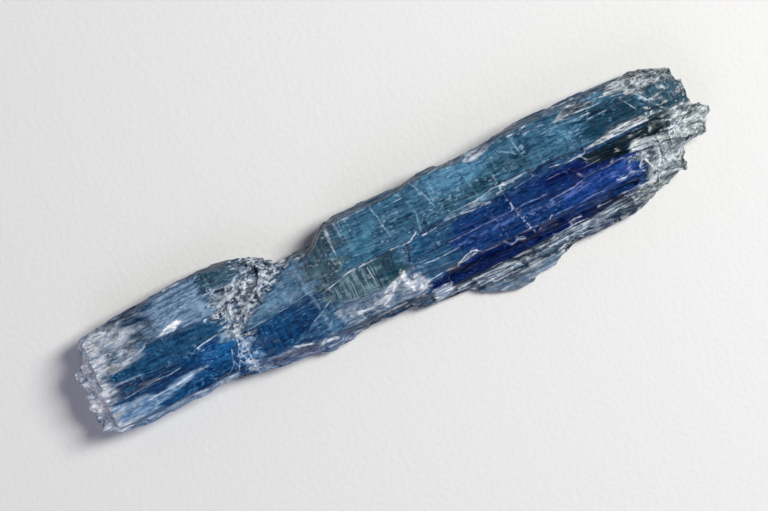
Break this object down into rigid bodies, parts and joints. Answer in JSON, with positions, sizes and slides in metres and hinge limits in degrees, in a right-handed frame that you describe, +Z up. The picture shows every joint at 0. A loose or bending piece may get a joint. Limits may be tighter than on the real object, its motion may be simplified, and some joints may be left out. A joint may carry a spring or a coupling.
{
  "type": "kyanite blade cluster",
  "caption": "Cluster of flat kyanite blades grown together, deep blue to grey-green and part clear, with splintery ends and an old break; lies on its broad face.",
  "frame": {"origin": "centre of the underside of the bounding box, on the surface that the cluster rests on", "axes": "+X along the blades, towards the end with the long tongue; +Y across them, towards the side with the notch; +Z up, through the thickness"},
  "size_m": [0.0554, 0.0126, 0.0052],
  "materials": {
    "kyanite": "glassy to pearly on the cleavage faces, frosted grey-white on the splintered ends and along the break"
  },
  "bodies": {
    "root": {"kyanite_crystal": "kyanite"}
  },
  "joints": []
}
